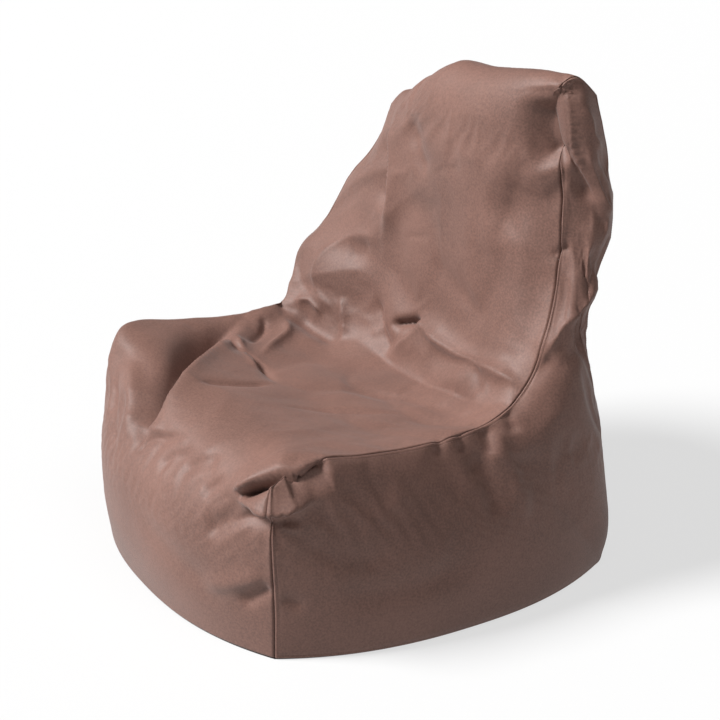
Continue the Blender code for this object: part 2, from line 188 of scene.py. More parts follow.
def flank(rows, side):
    """A side face of the lattice, blended from the four sides of its outline."""
    a = np.linspace(0, 1, CELLS_ALONG + 1)[:, None, None]
    b = np.linspace(0, 1, CELLS_THICK + 1)[None, :, None]
    seat, under = rows["seat"][:, None, :], rows["under"][:, None, :]
    front, top = rows["front"][None, :, :], rows["top"][None, :, :]
    across = (1 - b) * seat + b * under
    down = (1 - a) * front + a * top
    corners = (1 - a) * ((1 - b) * seat[:1] + b * under[:1]) + a * ((1 - b) * seat[-1:] + b * under[-1:])
    blended = across + down - corners
    x = side * (blended[..., 2] + side_bulge(a[..., 0], b[..., 0]))
    return settle(np.stack([x, blended[..., 0], np.maximum(blended[..., 1], 0)], axis=-1))


def lattice():
    """The six faces of the bent box, as grids of points. Neighbouring faces share their edges' points."""
    rows = outline_rows()
    c = np.linspace(-1, 1, CELLS_WIDE + 1)
    a = np.linspace(0, 1, CELLS_ALONG + 1)
    under_bulge = np.where(a < CORNER_SHARE, side_bulge(a, np.ones_like(a)), 0)
    strip_rows = np.vstack([rows["front"][::-1], rows["seat"][1:], rows["top"][1:]])
    return {
        "strip": round_edges(band(strip_rows, c)),
        "under": band(rows["under"], c, under_bulge),
        "left": flank(rows, 1),
        "right": flank(rows, -1),
    }


def round_edges(strip, passes=60, reach=7):
    """Rounds the long strip where it turns from front to seat and from back to top, but not at its seams."""
    rows = np.arange(len(strip))
    turns = (CELLS_THICK, CELLS_THICK + CELLS_ALONG)
    near = np.maximum(*[np.exp(-(((rows - turn) / reach) ** 2)) for turn in turns])
    inner = round_off(1 - np.abs(np.linspace(-1, 1, strip.shape[1])), 0.35)
    weight = 0.5 * near[1:-1, None, None] * inner[None, :, None]
    for _ in range(passes):
        strip[1:-1] += weight * (0.5 * (strip[2:] + strip[:-2]) - strip[1:-1])
    return strip


# ---------------------------------------------------------------- one closed mesh of the lattice
def closed_grid():
    """Point numbers of each face's grid, welded along the lattice's edges, and the number of points."""
    strip = np.arange((2 * CELLS_THICK + CELLS_ALONG + 1) * (CELLS_WIDE + 1)).reshape(-1, CELLS_WIDE + 1)
    count = strip.size
    under = np.full((CELLS_ALONG + 1, CELLS_WIDE + 1), -1)
    under[0], under[-1] = strip[0], strip[-1]
    under[1:-1] = count + np.arange((CELLS_ALONG - 1) * (CELLS_WIDE + 1)).reshape(-1, CELLS_WIDE + 1)
    count += (CELLS_ALONG - 1) * (CELLS_WIDE + 1)
    grids = {"strip": strip, "under": under}
    for name, column in (("left", -1), ("right", 0)):
        side = np.full((CELLS_ALONG + 1, CELLS_THICK + 1), -1)
        side[:, 0] = strip[CELLS_THICK : CELLS_THICK + CELLS_ALONG + 1, column]
        side[0, :] = strip[: CELLS_THICK + 1, column][::-1]
        side[-1, :] = strip[CELLS_THICK + CELLS_ALONG :, column]
        side[:, -1] = under[:, column]
        inner = (CELLS_ALONG - 1) * (CELLS_THICK - 1)
        side[1:-1, 1:-1] = count + np.arange(inner).reshape(CELLS_ALONG - 1, CELLS_THICK - 1)
        count += inner
        grids[name] = side
    return grids, count


def quads_of(grid):
    corners = [grid[:-1, :-1], grid[:-1, 1:], grid[1:, 1:], grid[1:, :-1]]
    return np.stack([corner.ravel() for corner in corners], axis=1)


def fill_waist(points):
    """The cloth spans the waist on the sitter's right, where the backrest meets the seat."""
    x, y, z = points.T
    share = smooth_step((-x - 0.12) / 0.16) * smooth_step((0.30 - y) / 0.14)
    share = share * smooth_step((z - 0.325) / 0.05) * smooth_step((0.52 - z) / 0.12)
    return points + share[:, None] * np.array([-0.010, -0.040, 0.010])


def gather(faces, grids, count):
    points = np.zeros((count, 3))
    for name, grid in grids.items():
        points[grid.ravel()] = faces[name].reshape(-1, 3)
    return points


def mesh_from(name, points, quads):
    data = bpy.data.meshes.new(name)
    data.vertices.add(len(points))
    data.vertices.foreach_set("co", np.asarray(points, np.float32).ravel())
    data.loops.add(quads.size)
    data.loops.foreach_set("vertex_index", quads.astype(np.int32).ravel())
    data.polygons.add(len(quads))
    data.polygons.foreach_set("loop_start", np.arange(0, quads.size, 4, dtype=np.int32))
    data.update(calc_edges=True)
    return data


def closed_quads(grids, points):
    """All quads of the closed surface, facing outward."""
    parts = []
    middle = points.mean(axis=0)
    for name, grid in grids.items():
        quads = quads_of(grid)
        corners = points[quads]
        facing = np.cross(corners[:, 2] - corners[:, 0], corners[:, 3] - corners[:, 1])
        away = corners.mean(axis=1) - middle
        if (facing * away).sum() < 0:
            quads = quads[:, ::-1]
        parts.append(quads)
    return np.vstack(parts)


def point_normals(points, quads):
    corners = points[quads]
    facing = np.cross(corners[:, 2] - corners[:, 0], corners[:, 3] - corners[:, 1])
    normals = np.zeros_like(points)
    for n in range(4):
        np.add.at(normals, quads[:, n], facing)
    return normals / np.maximum(np.linalg.norm(normals, axis=1, keepdims=True), 1e-12)


# ---------------------------------------------------------------- smoothing, and the inner shape
CORNERS = [(-0.355, -0.350, 0.345), (-0.285, 0.262, 0.785), (-0.285, 0.345, 0.770)]
CORNER_REACH = 0.055
CORNER_PASSES = 26
INNER_PASSES = 40


def edges_of(quads):
    ends = np.concatenate([quads[:, [0, 1]], quads[:, [1, 2]], quads[:, [2, 3]], quads[:, [3, 0]]])
    return np.unique(np.sort(ends, axis=1), axis=0)


def relax(values, edges, weights, passes):
    """Draws each point's value toward the mean of its neighbours', by its weight, again and again."""
    shape = (-1,) + (1,) * (values.ndim - 1)
    count = np.bincount(edges.ravel(), minlength=len(values)).reshape(shape)
    for _ in range(passes):
        total = np.zeros_like(values)
        np.add.at(total, edges[:, 0], values[edges[:, 1]])
        np.add.at(total, edges[:, 1], values[edges[:, 0]])
        values = values + weights.reshape(shape) * (total / count - values)
    return values


def round_corners(points, edges):
    """Rounds the corners that hold no pinch, where the cloth has settled smoothly over the fill."""
    weights = np.zeros(len(points))
    for corner in CORNERS:
        distance = np.linalg.norm(points - np.array(corner), axis=1)
        weights = np.maximum(weights, np.exp(-((distance / CORNER_REACH) ** 2)))
    return relax(points, edges, 0.8 * weights, CORNER_PASSES)


def inner_shape(points, normals, edges, quads, heights):
    """The rounder shape inside the cover: its points, normals, and how far the folds press it in."""
    flat = (np.abs(points[:, 0]) < 0.20) & (points[:, 1] > 0.40) & (points[:, 2] < 0.70)
    rounded = relax(points, edges, np.where(flat | (points[:, 2] < 0.004), 0.0, 0.7), INNER_PASSES)
    step = rounded - points
    outward = np.maximum((step * normals).sum(axis=1), 0.0)
    rounded = rounded - normals * outward[:, None]
    pressed = np.maximum(-heights, 0.0)
    for _ in range(2):
        deeper = pressed.copy()
        np.maximum.at(deeper, edges[:, 0], pressed[edges[:, 1]])
        np.maximum.at(deeper, edges[:, 1], pressed[edges[:, 0]])
        pressed = deeper
    pressed = relax(pressed, edges, np.full(len(points), 0.7), 3)
    return rounded, point_normals(rounded, quads), pressed


# ---------------------------------------------------------------- resampling a panel
def cubic(grid, places):
    """Rows of the grid at fractional places, on a Catmull-Rom curve through its rows."""
    padded = np.concatenate([2 * grid[:1] - grid[1:2], grid, 2 * grid[-1:] - grid[-2:-1]])
    cell = np.minimum(places.astype(int), len(grid) - 2)
    t = (places - cell).reshape((-1,) + (1,) * (grid.ndim - 1))
    before, start, end, after = padded[cell], padded[cell + 1], padded[cell + 2], padded[cell + 3]
    square = 2 * before - 5 * start + 4 * end - after
    cube = 3 * start - before - 3 * end + after
    return start + 0.5 * ((end - before) * t + square * t**2 + cube * t**3)


def fine_places(grid, spacing):
    """Fractional rows about a spacing apart, with extra ones beside the seam at either end."""
    steps = np.linalg.norm(np.diff(grid, axis=0), axis=2).mean(axis=1)
    length = np.concatenate([[0], np.cumsum(steps)])
    total, hem = length[-1], HEM_LINES[-1]
    inner = np.linspace(hem, total - hem, max(2, round((total - 2 * hem) / spacing)) + 1)
    wanted = [*HEM_LINES[:-1], *inner, *(total - step for step in HEM_LINES[-2::-1])]
    return np.interp(wanted, length, np.arange(len(length)))


def resample(grid, row_places, column_places):
    rows = cubic(grid, row_places)
    return np.swapaxes(cubic(np.swapaxes(rows, 0, 1), column_places), 0, 1)


# ---------------------------------------------------------------- folds
# Each fold is a line over the cover, as points in the frame: its kind, its height, how wide it is on its left
# and on its right, seen from outside, and its points. Crests and creases are sharp at the line, ridges and
# valleys soft.
FOLDS = [
    # the pinched corner at the front of the seat, on the sitter's left
    ("crease", 0.04, 0.012, 0.03, [
        (0.274, -0.358, 0.29), (0.302, -0.34, 0.326), (0.326, -0.305, 0.348), (0.342, -0.268, 0.36),
    ]),
    ("crease", 0.02, 0.006, 0.014, [
        (0.304, -0.334, 0.332), (0.328, -0.298, 0.352), (0.345, -0.262, 0.362), (0.352, -0.232, 0.362),
    ]),
    ("crest", 0.014, 0.036, 0.006, [
        (0.258, -0.364, 0.298), (0.29, -0.338, 0.34), (0.316, -0.3, 0.358), (0.336, -0.26, 0.366),
    ]),
    ("crest", 0.03, 0.04, 0.008, [
        (0.268, -0.364, 0.288), (0.325, -0.344, 0.29), (0.354, -0.312, 0.294), (0.372, -0.25, 0.304),
    ]),
    ("valley", 0.022, 0.012, 0.036, [
        (0.344, -0.306, 0.348), (0.35, -0.266, 0.36), (0.35, -0.222, 0.359),
    ]),
    ("crease", 0.012, 0.01, 0.02, [
        (0.29, -0.372, 0.262), (0.33, -0.35, 0.264), (0.354, -0.318, 0.266), (0.372, -0.272, 0.274),
    ]),
    ("crest", 0.008, 0.016, 0.009, [(0.352, -0.322, 0.262), (0.372, -0.284, 0.252)]),
    ("valley", 0.012, 0.022, 0.016, [
        (0.218, -0.398, 0.2), (0.273, -0.37, 0.25), (0.345, -0.336, 0.29),
    ]),
    ("valley", 0.009, 0.016, 0.012, [
        (0.296, -0.366, 0.092), (0.327, -0.35, 0.124), (0.352, -0.334, 0.146),
    ]),
    ("ridge", 0.006, 0.02, 0.016, [
        (0.211, -0.404, 0.097), (0.288, -0.373, 0.134), (0.35, -0.336, 0.16),
    ]),
    ("valley", 0.005, 0.012, 0.012, [(0.358, -0.318, 0.128), (0.378, -0.284, 0.106)]),
    # the hollow beside the right armrest, and the folds at its lower end
    ("crease", 0.05, 0.018, 0.05, [
        (-0.335, -0.04, 0.34), (-0.24, -0.17, 0.342), (-0.15, -0.272, 0.346),
        (-0.09, -0.34, 0.334), (-0.068, -0.386, 0.3),
    ]),
    ("crease", 0.018, 0.01, 0.03, [
        (-0.2, -0.24, 0.347), (-0.14, -0.305, 0.342), (-0.098, -0.35, 0.328),
        (-0.066, -0.388, 0.305), (-0.05, -0.412, 0.27),
    ]),
    ("crest", 0.014, 0.055, 0.014, [
        (-0.326, -0.02, 0.336), (-0.215, -0.16, 0.337), (-0.119, -0.258, 0.343),
        (-0.058, -0.33, 0.336), (-0.045, -0.378, 0.31),
    ]),
    ("ridge", 0.011, 0.02, 0.02, [
        (-0.286, -0.312, 0.35), (-0.198, -0.354, 0.327), (-0.13, -0.385, 0.292),
        (-0.1, -0.408, 0.25),
    ]),
    ("valley", 0.008, 0.016, 0.018, [
        (-0.29, -0.35, 0.318), (-0.2, -0.392, 0.262), (-0.13, -0.418, 0.228),
    ]),
    ("crease", 0.01, 0.012, 0.024, [
        (-0.045, -0.412, 0.248), (-0.026, -0.39, 0.29), (0.067, -0.357, 0.324),
    ]),
    ("crest", 0.006, 0.018, 0.012, [(-0.088, -0.388, 0.292), (0.033, -0.369, 0.319)]),
    ("valley", 0.006, 0.014, 0.018, [
        (0.042, -0.404, 0.258), (0.074, -0.385, 0.292), (0.128, -0.366, 0.312),
    ]),
    ("valley", 0.006, 0.012, 0.018, [
        (0.095, -0.394, 0.276), (0.14, -0.375, 0.306), (0.184, -0.341, 0.332),
    ]),
    ("valley", 0.006, 0.012, 0.016, [(0.185, -0.386, 0.268), (0.228, -0.362, 0.31)]),
    # the crumpled cloth at the back of that armrest
    ("crease", 0.01, 0.012, 0.02, [
        (-0.071, -0.271, 0.344), (-0.058, -0.194, 0.332), (-0.055, -0.108, 0.315),
    ]),
    ("crease", 0.012, 0.02, 0.012, [
        (-0.05, -0.104, 0.315), (-0.165, -0.093, 0.319), (-0.275, -0.111, 0.333),
    ]),
    ("crest", 0.01, 0.014, 0.01, [
        (-0.289, -0.08, 0.332), (-0.202, -0.1, 0.324), (-0.12, -0.112, 0.319),
    ]),
    ("crest", 0.014, 0.016, 0.016, [
        (-0.322, 0.052, 0.335), (-0.268, 0.031, 0.324), (-0.238, -0.012, 0.317),
        (-0.185, -0.08, 0.319),
    ]),
    ("crease", 0.012, 0.014, 0.014, [
        (-0.335, 0.01, 0.336), (-0.292, -0.012, 0.327), (-0.245, -0.07, 0.326),
    ]),
    ("crest", 0.012, 0.014, 0.014, [
        (-0.34, 0.085, 0.35), (-0.3, 0.11, 0.365), (-0.255, 0.105, 0.345),
    ]),
    ("valley", 0.014, 0.018, 0.018, [
        (-0.32, 0.07, 0.342), (-0.25, 0.08, 0.335), (-0.172, 0.095, 0.328),
    ]),
    # the crease between seat and back
    ("crest", 0.011, 0.01, 0.018, [
        (-0.18, 0.1, 0.33), (-0.21, 0.135, 0.358), (-0.235, 0.15, 0.395),
    ]),
    ("crease", 0.012, 0.014, 0.022, [
        (-0.146, 0.161, 0.42), (-0.1, 0.148, 0.365), (-0.052, 0.131, 0.345),
    ]),
    ("crest", 0.012, 0.008, 0.02, [(-0.054, 0.131, 0.345), (0.000, 0.164, 0.392), (0.003, 0.175, 0.42)]),
    ("crease", 0.024, 0.008, 0.016, [
        (-0.074, 0.156, 0.382), (-0.036, 0.166, 0.4), (0.000, 0.174, 0.415),
    ]),
    ("crest", 0.018, 0.032, 0.012, [
        (-0.005, 0.173, 0.413), (0.07, 0.168, 0.396), (0.176, 0.169, 0.398), (0.289, 0.173, 0.402),
        (0.347, 0.179, 0.405),
    ]),
    ("crease", 0.026, 0.03, 0.085, [
        (-0.15, 0.118, 0.338), (0.000, 0.124, 0.342), (0.15, 0.128, 0.346), (0.318, 0.132, 0.362),
    ]),
    ("ridge", 0.016, 0.09, 0.042, [
        (0.268, 0.18, 0.4), (0.262, 0.195, 0.48), (0.25, 0.215, 0.59), (0.236, 0.225, 0.7),
    ]),
    ("ridge", 0.015, 0.052, 0.1, [
        (-0.15, -0.01, 0.304), (0.000, 0.01, 0.303), (0.12, 0.018, 0.306), (0.25, 0.034, 0.315),
    ]),
    ("crease", 0.004, 0.01, 0.02, [
        (0.06, -0.18, 0.326), (0.095, -0.096, 0.314), (0.15, -0.01, 0.307), (0.18, 0.04, 0.31),
    ]),
    ("valley", 0.006, 0.02, 0.02, [
        (-0.005, -0.084, 0.311), (0.04, 0.03, 0.303), (0.178, 0.09, 0.323), (0.3, 0.09, 0.34),
    ]),
    # the sunken shoulder on the sitter's right
    ("crest", 0.014, 0.05, 0.016, [
        (-0.186, 0.228, 0.775), (-0.15, 0.208, 0.7), (-0.136, 0.191, 0.623), (-0.146, 0.177, 0.528),
    ]),
    ("crease", 0.024, 0.014, 0.06, [
        (-0.205, 0.212, 0.745), (-0.166, 0.198, 0.668), (-0.158, 0.184, 0.575),
    ]),
    ("crest", 0.007, 0.02, 0.02, [
        (-0.15, 0.174, 0.53), (-0.24, 0.162, 0.515), (-0.3, 0.15, 0.45), (-0.295, 0.145, 0.39),
        (-0.208, 0.129, 0.351),
    ]),
    ("valley", 0.005, 0.018, 0.024, [(-0.18, 0.168, 0.5), (-0.24, 0.156, 0.47)]),
    ("valley", 0.01, 0.024, 0.02, [
        (-0.105, 0.208, 0.8), (-0.06, 0.206, 0.735), (-0.016, 0.207, 0.69),
    ]),
    ("ridge", 0.005, 0.05, 0.05, [(-0.12, 0.24, 0.85), (-0.185, 0.262, 0.812)]),
    # soft folds on the backrest
    ("valley", 0.004, 0.03, 0.018, [(0.218, 0.241, 0.76), (0.207, 0.237, 0.683), (0.18, 0.229, 0.6)]),
    ("valley", 0.004, 0.03, 0.022, [(0.215, 0.23, 0.64), (0.205, 0.221, 0.56), (0.17, 0.2, 0.45)]),
    ("crease", 0.002, 0.006, 0.008, [(0.005, 0.209, 0.708), (0.047, 0.209, 0.724), (0.085, 0.211, 0.739)]),
    ("crease", 0.002, 0.006, 0.008, [
        (-0.085, 0.191, 0.552), (-0.044, 0.198, 0.566), (0.000, 0.202, 0.579),
    ]),
    ("valley", 0.005, 0.026, 0.022, [(-0.001, 0.199, 0.541), (0.093, 0.196, 0.501), (0.211, 0.196, 0.462)]),
    # the ear on the sitter's left, with its deep fold along the seam
    ("crease", 0.036, 0.01, 0.044, [
        (0.282, 0.284, 0.94), (0.289, 0.275, 0.89), (0.294, 0.274, 0.85), (0.298, 0.276, 0.81),
        (0.3, 0.282, 0.768),
    ]),
    ("valley", 0.026, 0.022, 0.034, [(0.258, 0.254, 0.905), (0.264, 0.256, 0.835), (0.29, 0.272, 0.772)]),
    ("crest", 0.015, 0.034, 0.012, [
        (0.292, 0.296, 0.925), (0.301, 0.298, 0.88), (0.309, 0.302, 0.825), (0.318, 0.312, 0.77),
    ]),
    ("crest", 0.007, 0.01, 0.016, [
        (0.299, 0.309, 0.892), (0.307, 0.326, 0.863), (0.313, 0.33, 0.834), (0.312, 0.353, 0.805),
    ]),
    ("valley", 0.016, 0.016, 0.016, [
        (0.302, 0.288, 0.83), (0.312, 0.295, 0.79), (0.321, 0.308, 0.75), (0.328, 0.33, 0.71),
    ]),
    ("crest", 0.013, 0.016, 0.014, [
        (0.312, 0.316, 0.82), (0.322, 0.33, 0.77), (0.33, 0.35, 0.715), (0.33, 0.368, 0.69),
    ]),
    ("crest", 0.012, 0.012, 0.02, [
        (0.345, 0.35, 0.61), (0.34, 0.33, 0.575), (0.343, 0.309, 0.546), (0.343, 0.27, 0.5),
        (0.346, 0.2, 0.425),
    ]),
    ("valley", 0.008, 0.024, 0.026, [(0.348, 0.32, 0.5), (0.35, 0.29, 0.47), (0.35, 0.255, 0.43)]),
    ("crease", 0.006, 0.008, 0.012, [(0.29, 0.262, 0.62), (0.305, 0.273, 0.631), (0.318, 0.286, 0.645)]),
    # puckers along the seat's side seam, and soft folds below it
    ("valley", 0.006, 0.01, 0.01, [(0.342, 0.008, 0.341), (0.364, -0.014, 0.32)]),
    ("valley", 0.006, 0.01, 0.01, [(0.345, 0.046, 0.343), (0.367, 0.04, 0.312)]),
    ("valley", 0.007, 0.011, 0.011, [(0.351, 0.092, 0.352), (0.374, 0.092, 0.3)]),
    ("valley", 0.007, 0.011, 0.011, [(0.35, 0.139, 0.372), (0.369, 0.15, 0.328)]),
    ("valley", 0.009, 0.018, 0.022, [(0.365, 0.057, 0.317), (0.392, 0.083, 0.264), (0.417, 0.09, 0.193)]),
    ("ridge", 0.007, 0.018, 0.018, [(0.355, 0.101, 0.345), (0.387, 0.128, 0.27), (0.415, 0.154, 0.171)]),
    ("valley", 0.005, 0.026, 0.026, [
        (0.371, -0.287, 0.235), (0.399, -0.225, 0.192), (0.424, -0.121, 0.175),
    ]),
    ("valley", 0.005, 0.028, 0.028, [
        (0.395, -0.244, 0.118), (0.43, -0.125, 0.12), (0.434, 0.038, 0.136),
    ]),
    ("valley", 0.008, 0.018, 0.018, [(0.345, 0.24, 0.464), (0.348, 0.189, 0.413), (0.356, 0.135, 0.354)]),
    ("valley", 0.004, 0.028, 0.028, [
        (-0.011, -0.435, 0.177), (0.167, -0.419, 0.134), (0.276, -0.376, 0.095),
    ]),
]
# Lips that hang over a fold: how far they lean, the width that leans, and the line they follow.
LIPS = [
    ((0.01, -0.02, -0.01), 0.013, [
        (0.256, -0.366, 0.294), (0.286, -0.341, 0.336), (0.313, -0.304, 0.356), (0.334, -0.262, 0.365),
        (0.346, -0.225, 0.364),
    ]),
    ((-0.012, 0.01, 0.004), 0.016, [
        (-0.3, -0.05, 0.34), (-0.215, -0.16, 0.34), (-0.119, -0.258, 0.343),
        (-0.058, -0.33, 0.336), (-0.045, -0.378, 0.31),
    ]),
    ((-0.016, -0.006, 0.0), 0.012, [
        (0.29, 0.3, 0.94), (0.296, 0.296, 0.9), (0.303, 0.298, 0.86), (0.31, 0.304, 0.815),
        (0.318, 0.314, 0.76),
    ]),
]
FOLD_STEP = 0.012
TAPER = 0.25  # share of a fold's length at each end where it dies away


def fold_profile(kind, x):
    """The height across a fold, 1 at its line, with x in widths from it."""
    soft = np.exp(-(x**2))
    sharp = np.exp(-1.4 * x**1.15)
    return {"crest": sharp, "crease": -sharp, "ridge": soft, "valley": -soft}[kind]


class Surface:
    """The slack cover, as points with normals that can be looked up from anywhere near them."""

    def __init__(self, points, normals):
        self.points = points
        self.normals = normals
        self.tree = kdtree.KDTree(len(points))
        for n, point in enumerate(points):
            self.tree.insert(point, n)
        self.tree.balance()

    def snap(self, point):
        nearest = self.tree.find(point)[1]
        normal = self.normals[nearest]
        offset = np.asarray(point) - self.points[nearest]
        return np.asarray(point) - normal * np.dot(offset, normal)


def fold_line(surface, corners):
    """The fold's line as evenly spaced points on the surface."""
    corners = np.array([surface.snap(corner) for corner in corners])
    length = np.linalg.norm(np.diff(corners, axis=0), axis=1).sum()
    cells = max(3, round(length / FOLD_STEP))
    if len(corners) == 2:
        corners = np.array([corners[0], corners.mean(axis=0), corners[1]])
    places = np.linspace(0, len(corners) - 1, cells + 1)
    return np.array([surface.snap(point) for point in cubic(corners, places)])


def fold_heights(surface, points, normals):
    """How far the folds lift each point along its normal."""
    heights = np.zeros(len(points))
    for kind, size, left_width, right_width, corners in FOLDS:
        line = fold_line(surface, corners)
        reach = 3.2 * max(left_width, right_width)
        near = np.all((points > line.min(axis=0) - reach) & (points < line.max(axis=0) + reach), axis=1)
        spots = points[near]
        best = np.full(len(spots), np.inf)
        width = np.zeros(len(spots))
        along = np.zeros(len(spots))
        for n, (start, end) in enumerate(zip(line, line[1:])):
            run = end - start
            share = np.clip(((spots - start) @ run) / (run @ run), 0, 1)
            offset = spots - start - share[:, None] * run
            distance = np.linalg.norm(offset, axis=1)
            closer = distance < best
            best = np.where(closer, distance, best)
            along = np.where(closer, (n + share) / (len(line) - 1), along)
            side = (offset * np.cross(normals[near], run)).sum(axis=1)
            share_left = smooth_step(0.5 + side / np.linalg.norm(run) / 0.006)
            widths = right_width + (left_width - right_width) * share_left
            width = np.where(closer, widths, width)
        ends = smooth_step(along / TAPER) * smooth_step((1 - along) / TAPER)
        heights[near] += size * fold_profile(kind, best / width) * (0.1 + 0.9 * ends)
    return heights


def lean(surface, points):
    """How far the overhanging lips move each point."""
    moves = np.zeros(points.shape)
    for reach, width, corners in LIPS:
        line = fold_line(surface, corners)
        distance = np.linalg.norm(points[:, None] - line[None], axis=2)
        along = distance.argmin(axis=1) / (len(line) - 1)
        ends = smooth_step(along / TAPER) * smooth_step((1 - along) / TAPER)
        share = np.exp(-((distance.min(axis=1) / width) ** 2)) * ends
        moves += share[:, None] * np.array(reach)
    return moves


# ---------------------------------------------------------------- slackening by cloth simulation
GROWTH = 0.018  # how much longer the cloth is cut than the shape it lies on
PRESSURE = 0.15
MOST_SLACK = 0.014
SLACK_FRAMES = 14


def slacken(points, quads):
    """Blender's Cloth on the closed cover, cut a little too large, so that it buckles into soft folds."""
    data = mesh_from("slack_cover", points, quads)
    thing = bpy.data.objects.new("slack_cover", data)
    bpy.context.scene.collection.objects.link(thing)
    x, y, z = points.T
    held = np.maximum.reduce(
        [
            smooth_step((0.36 - z) / 0.30),
            0.8 * smooth_step((z - 0.76) / 0.12),
            smooth_step((0.06 - np.abs(x)) / 0.03) * (y > 0.38) * (z < 0.66),
        ]
    )
    pins = thing.vertex_groups.new(name="held")
    for n in np.nonzero(held > 0.01)[0]:
        pins.add([int(n)], float(held[n]), "REPLACE")
    cloth = thing.modifiers.new("Slack", "CLOTH")
    cloth.settings.quality = 5
    cloth.settings.mass = 0.25
    cloth.settings.tension_stiffness = 18
    cloth.settings.compression_stiffness = 18
    cloth.settings.shear_stiffness = 6
    cloth.settings.bending_stiffness = 0.6
    cloth.settings.air_damping = 4
    cloth.settings.use_pressure = True
    cloth.settings.uniform_pressure_force = PRESSURE
    cloth.settings.shrink_min = -GROWTH
    cloth.settings.vertex_group_mass = "held"
    cloth.settings.effector_weights.gravity = 0
    cloth.collision_settings.use_collision = False
    scene = bpy.context.scene
    scene.frame_start, scene.frame_end = 1, SLACK_FRAMES
    cloth.point_cache.frame_start, cloth.point_cache.frame_end = 1, SLACK_FRAMES
    for number in range(1, SLACK_FRAMES + 1):
        scene.frame_set(number)
    settled = thing.evaluated_get(bpy.context.evaluated_depsgraph_get()).to_mesh()
    moved = np.empty(points.size, np.float32)
    settled.vertices.foreach_get("co", moved)
    step = moved.reshape(-1, 3) - points
    length = np.linalg.norm(step, axis=1, keepdims=True)
    step *= MOST_SLACK * np.tanh(length / MOST_SLACK) / np.maximum(length, 1e-9)
    scene.frame_set(1)
    bpy.data.objects.remove(thing)
    return points + step * (1 - held)[:, None]


# ---------------------------------------------------------------- panels
ZIP_BOTTOM = 0.085
ZIP_TOP = 0.584
ZIP_EDGE = 0.0072  # a rear panel's edge from the centre line, along the zip
ZIP_FLAT = 0.060
SEAM_DEPTH = 0.0042
SEAM_HALF_WIDTH = 0.0022
FELL_WIDTH = HEM_LINES[4]
STITCH_LINE = 4  # the row of vertices, from a seam, that the topstitch follows
FELL_HEIGHT = 0.0007
STITCH_DIP = 0.0013
CLOTH_THICKNESS = 0.0009
FLOOR_GAP = 0.0004
LINER_DEPTH = 0.0085
FILL_DEPTH = 0.0130
ZIP_POCKET = 0.0085  # the inner layers lie deeper behind the zip
POCKET_HALF_WIDTH = 0.15
POCKET_TOP = 0.82


def panel_numbers(grids):
    """The point numbers of each sewn panel's grid."""
    middle = CELLS_WIDE // 2
    return {
        "main_panel": grids["strip"],
        "side_panel_left": grids["left"],
        "side_panel_right": grids["right"],
        "rear_panel_left": grids["under"][CELLS_BASE:, middle:],
        "rear_panel_right": grids["under"][CELLS_BASE:, : middle + 1][:, ::-1],
        "base_panel": grids["under"][: CELLS_BASE + 1],
    }


def edge_distances(grid):
    """Each vertex's distance along the cloth from its panel's first row, last row, first and last column."""
    down = np.linalg.norm(np.diff(grid, axis=0), axis=2)
    across = np.linalg.norm(np.diff(grid, axis=1), axis=2)
    down = np.concatenate([np.zeros((1, grid.shape[1])), np.cumsum(down, axis=0)])
    across = np.concatenate([np.zeros((grid.shape[0], 1)), np.cumsum(across, axis=1)], axis=1)
    return down, down[-1:] - down, across, across[:, -1:] - across


def seam_heights(distance, felled):
    """The groove at a seam, and on a felled panel the doubled band up to its topstitch."""
    height = -SEAM_DEPTH * np.exp(-((distance / SEAM_HALF_WIDTH) ** 2))
    if felled:
        height += FELL_HEIGHT * smooth_step((FELL_WIDTH - distance) / 0.0015)
        height -= STITCH_DIP * np.exp(-(((distance - FELL_WIDTH) / 0.0014) ** 2))
    return height


def zip_slot(z):
    """1 along the zip, where the rear panels stand apart, and 0 above and below it."""
    return smooth_step((z - ZIP_BOTTOM + 0.018) / 0.013) * smooth_step((ZIP_TOP + 0.018 - z) / 0.013)


def open_slot(grid):
    """Draws a rear panel's first column back from the centre line, along the zip."""
    x, z = grid[..., 0], grid[..., 2]
    share = np.clip(np.abs(x) / ZIP_FLAT, 0, 1)
    drawn = np.sign(x[:, -1:]) * ZIP_EDGE * zip_slot(z) * (1 - share)
    return np.stack([x + drawn, grid[..., 1], z], axis=-1)


def quiet_zone(grid):
    """Folds die away at the zip, so that it runs straight."""
    x, y, z = grid[..., 0], grid[..., 1], grid[..., 2]
    beside = (y > 0.40) & (z < 0.64)
    return np.where(beside, smooth_step((np.abs(x) - 0.02) / 0.05), 1.0)


def pocket(grid):
    """How fully a point lies in the zip's pocket, from 0 to 1."""
    x, y, z = grid[..., 0], grid[..., 1], grid[..., 2]
    across = smooth_step((1 - np.abs(x) / POCKET_HALF_WIDTH) * 1.3)
    return across * smooth_step((POCKET_TOP - z) / 0.1) * smooth_step((y - 0.33) / 0.05)


CRUMPLE_SIZE = 0.150
CRUMPLE_HEIGHT = 0.0026
CRUMPLE_FINE = 0.0005
CRUMPLE_SEED = 1  # the noise vectors' offsets come from the clock unless a seed is set


def crumple(points):
    """Shallow sharp-topped ridges all over the cover, where slack coated cloth has been handled."""
    lifts = np.empty(len(points))
    for n, point in enumerate(points):
        spot = Vector(point) / CRUMPLE_SIZE
        spot += noise.noise_vector(spot * 0.5) * 0.6
        ridge = 1 - abs(noise.noise(spot))
        fine = 1 - abs(noise.noise(spot * 2.1 + Vector((7, 3, 1))))
        lifts[n] = CRUMPLE_HEIGHT * (ridge**4 - 0.5) + CRUMPLE_FINE * (fine**6 - 0.3)
    calm = smooth_step(points[:, 2] / 0.12) * smooth_step((0.99 - points[:, 2]) / 0.12)
    lower = 0.35 + 0.65 * smooth_step((points[:, 2] - 0.16) / 0.14)
    return lifts * calm * lower


